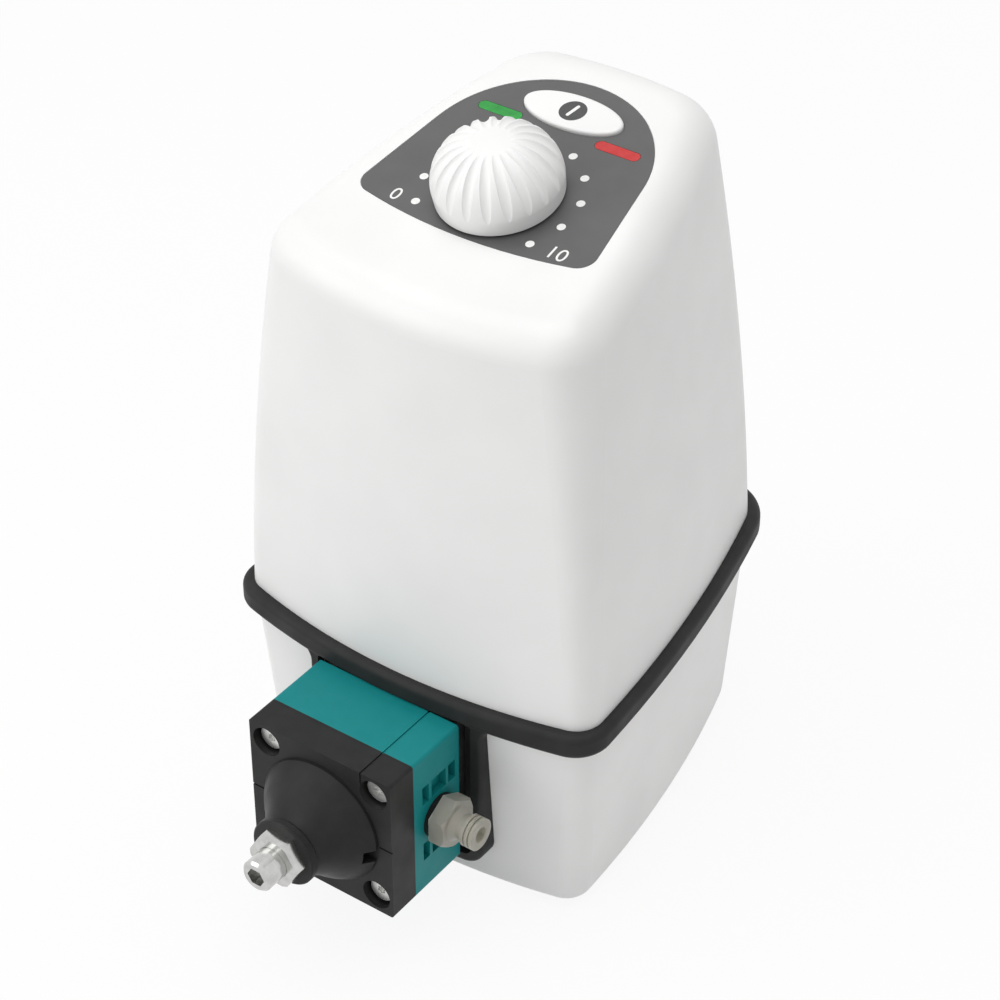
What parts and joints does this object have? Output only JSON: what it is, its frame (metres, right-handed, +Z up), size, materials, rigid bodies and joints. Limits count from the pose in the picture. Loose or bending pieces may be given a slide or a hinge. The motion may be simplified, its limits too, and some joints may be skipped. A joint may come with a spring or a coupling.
{
  "type": "tabletop diaphragm liquid pump",
  "caption": "White tapered tabletop diaphragm pump with a rubber belt, a square head with relief valve and ribbed hose connectors, and a speed dial on its sloped top.",
  "frame": {"origin": "middle of the whole pump's outline, on the table", "axes": "+Z up, +X to the right of someone who faces the pump head, +Y from the pump head to the back"},
  "size_m": [0.154, 0.2402, 0.2705],
  "materials": {
    "white_housing": "moulded, satin gloss",
    "black_rubber": "moulded, matt",
    "foil": "printed foil",
    "green_window": "clear tinted",
    "red_window": "clear tinted",
    "black_plastic": "glass-filled, moulded",
    "teal_plastic": "moulded",
    "stainless": "turned",
    "natural_plastic": "translucent, natural",
    "seal_rubber": "seal",
    "cast_aluminium": "die cast",
    "motor_steel": "coated",
    "copper": "enamelled copper wire",
    "board": "laminate",
    "capacitor": "sleeved"
  },
  "bodies": {
    "housing": {"upper_housing": "white_housing", "lower_housing": "white_housing", "bumper_frame": "black_rubber", "rubber_feet": "black_rubber", "rubber_dampers": "black_rubber", "control_foil": "foil", "standby_window": "green_window", "external_window": "red_window", "relief_cover": "black_plastic", "mains_inlet": "black_plastic", "control_socket": "black_plastic", "key_switch": "black_plastic", "potentiometer": "black_plastic", "head_block": "teal_plastic", "head_screws": "stainless", "housing_screws": "stainless", "control_board_screws": "stainless", "end_cover_screws": "stainless", "motor_screws": "stainless", "potentiometer_nut": "stainless", "spring_plate": "stainless", "relief_spring": "stainless", "shaft_bearings": "stainless", "motor_bearing": "stainless", "hose_connector_outlet": "natural_plastic", "hose_connector_inlet": "natural_plastic", "valve_plate": "natural_plastic", "intermediate_plate": "natural_plastic", "connector_seals": "seal_rubber", "relief_diaphragm": "seal_rubber", "working_diaphragm": "seal_rubber", "crankcase": "cast_aluminium", "end_cover": "cast_aluminium", "heat_sink": "cast_aluminium", "motor_can": "motor_steel", "stator": "motor_steel", "supply_transformer": "motor_steel", "stator_windings": "copper", "control_board": "board", "supply_board": "board", "supply_capacitors": "capacitor"},
    "dial": {"speed_knob": "white_housing", "potentiometer_shaft": "stainless"},
    "key": {"power_key": "white_housing"},
    "relief_slider": {"spring_seat": "stainless"},
    "relief_screw": {"adjusting_screw": "stainless"},
    "nut": {"lock_nut": "stainless"},
    "crank": {"motor_shaft": "stainless", "eccentric": "stainless", "counterweight": "motor_steel", "rotor": "motor_steel"},
    "rod": {"connecting_rod": "cast_aluminium", "rod_bearing": "stainless", "diaphragm_core": "cast_aluminium"}
  },
  "joints": [
    {"name": "knob_turn", "type": "hinge", "parent": "housing", "child": "dial", "pos_m": [0, 0.0188, 0.2477], "axis": [0, -0.2317, 0.9728], "range_deg": [-125, 125]},
    {"name": "key_press", "type": "slide", "parent": "housing", "child": "key", "axis": [0, -0.2317, 0.9728], "range_m": [-0.0006, 0], "stiffness_N_per_m": 400, "springref_m": 0.001},
    {"name": "relief_travel", "type": "slide", "parent": "housing", "child": "relief_slider", "axis": [0, 1, 0], "range_m": [-0.002, 0.002], "deforming": ["relief_spring"]},
    {"name": "screw_turn", "type": "hinge", "parent": "relief_slider", "child": "relief_screw", "pos_m": [0, -0.1101, 0.052], "axis": [0, 1, 0], "range_deg": [-720, 720]},
    {"name": "nut_turn", "type": "hinge", "parent": "housing", "child": "nut", "pos_m": [0, -0.1091, 0.052], "axis": [0, 1, 0], "range_deg": [-180, 0]},
    {"name": "crank_spin", "type": "hinge", "parent": "housing", "child": "crank", "pos_m": [0, -0.0101, 0.052], "axis": [0, 0, 1], "continuous": true},
    {"name": "rod_pivot", "type": "hinge", "parent": "crank", "child": "rod", "pos_m": [0, -0.0117, 0.052], "axis": [0, 0, 1], "continuous": true, "deforming": ["working_diaphragm"]}
  ],
  "couplings": [
    {"joint": "screw_turn", "follows": "relief_travel", "rad_per_m": 6283.2},
    {"joint": "rod_pivot", "follows": "crank_spin", "ratio": -1}
  ]
}
